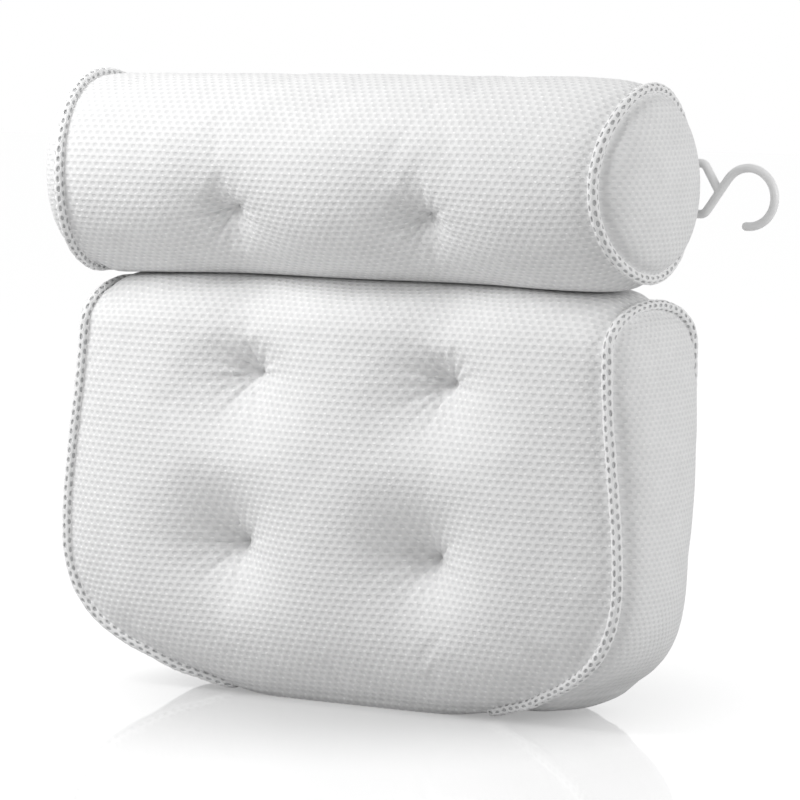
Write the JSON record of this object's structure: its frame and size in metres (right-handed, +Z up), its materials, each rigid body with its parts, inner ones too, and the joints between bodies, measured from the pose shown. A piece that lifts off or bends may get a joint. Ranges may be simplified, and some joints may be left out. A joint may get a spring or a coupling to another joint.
{
  "type": "bath pillow",
  "caption": "Stuffed and tufted bath pillow of spacer mesh: a neck roll that folds on top of a back pad, with suction cups and a hanging hook.",
  "frame": {"origin": "middle of the flat of the pad's base, on the surface that it stands on", "axes": "+X along the roll towards the hook's end, -Y towards the bather, +Z up"},
  "size_m": [0.4299, 0.1268, 0.3544],
  "materials": {
    "mesh": "white air-mesh spacer fabric, matt",
    "binding": "coarse white net binding",
    "fill": "loose polyester stuffing",
    "thread": "white sewing thread",
    "strap": "white woven tape",
    "plastic": "white moulded plastic",
    "cup": "clear soft vinyl"
  },
  "bodies": {
    "pad": {"pad_front_panel": "mesh", "pad_back_panel": "mesh", "pad_base_panel": "mesh", "pad_fill": "fill", "pad_end_panel_left": "mesh", "pad_end_panel_right": "mesh", "pad_edge_binding_left": "binding", "pad_edge_binding_right": "binding", "pad_tuft_tie_1": "thread", "pad_tuft_tie_2": "thread", "pad_tuft_tie_3": "thread", "pad_tuft_tie_4": "thread", "pad_eyelet_1": "plastic", "pad_eyelet_2": "plastic", "pad_eyelet_3": "plastic", "pad_eyelet_4": "plastic", "pad_fold_flap": "mesh"},
    "roll": {"roll_cover": "mesh", "roll_fill": "fill", "roll_end_panel_left": "mesh", "roll_end_panel_right": "mesh", "roll_edge_binding_left": "binding", "roll_edge_binding_right": "binding", "roll_tuft_tie_1": "thread", "roll_tuft_tie_2": "thread", "roll_eyelet_1": "plastic", "roll_eyelet_2": "plastic", "roll_fold_flap": "mesh", "hook_strap": "strap"},
    "hook": {"hanging_hook": "plastic"},
    "pad_cup_1": {"pad_suction_cup_1": "cup"},
    "pad_cup_2": {"pad_suction_cup_2": "cup"},
    "pad_cup_3": {"pad_suction_cup_3": "cup"},
    "pad_cup_4": {"pad_suction_cup_4": "cup"},
    "roll_cup_1": {"roll_suction_cup_1": "cup"},
    "roll_cup_2": {"roll_suction_cup_2": "cup"}
  },
  "joints": [
    {"name": "roll_fold", "type": "hinge", "parent": "pad", "child": "roll", "pos_m": [0, 0.04511, 0.237], "axis": [-1, 0, 0], "range_deg": [0, 100]},
    {"name": "hook_swing", "type": "hinge", "parent": "roll", "child": "hook", "pos_m": [0.172, 0.04741, 0.29261], "axis": [0, 0, 1], "range_deg": [-10, 110]},
    {"name": "pad_cup_1_spin", "type": "hinge", "parent": "pad", "child": "pad_cup_1", "pos_m": [-0.106, 0.04281, 0.158], "axis": [0, 1, 0], "continuous": true},
    {"name": "pad_cup_2_spin", "type": "hinge", "parent": "pad", "child": "pad_cup_2", "pos_m": [0.106, 0.04281, 0.158], "axis": [0, 1, 0], "continuous": true},
    {"name": "pad_cup_3_spin", "type": "hinge", "parent": "pad", "child": "pad_cup_3", "pos_m": [-0.106, 0.04281, 0.072], "axis": [0, 1, 0], "continuous": true},
    {"name": "pad_cup_4_spin", "type": "hinge", "parent": "pad", "child": "pad_cup_4", "pos_m": [0.106, 0.04281, 0.072], "axis": [0, 1, 0], "continuous": true},
    {"name": "roll_cup_1_spin", "type": "hinge", "parent": "roll", "child": "roll_cup_1", "pos_m": [-0.1, 0.04281, 0.29601], "axis": [0, 1, 0], "continuous": true},
    {"name": "roll_cup_2_spin", "type": "hinge", "parent": "roll", "child": "roll_cup_2", "pos_m": [0.1, 0.04281, 0.29601], "axis": [0, 1, 0], "continuous": true}
  ]
}
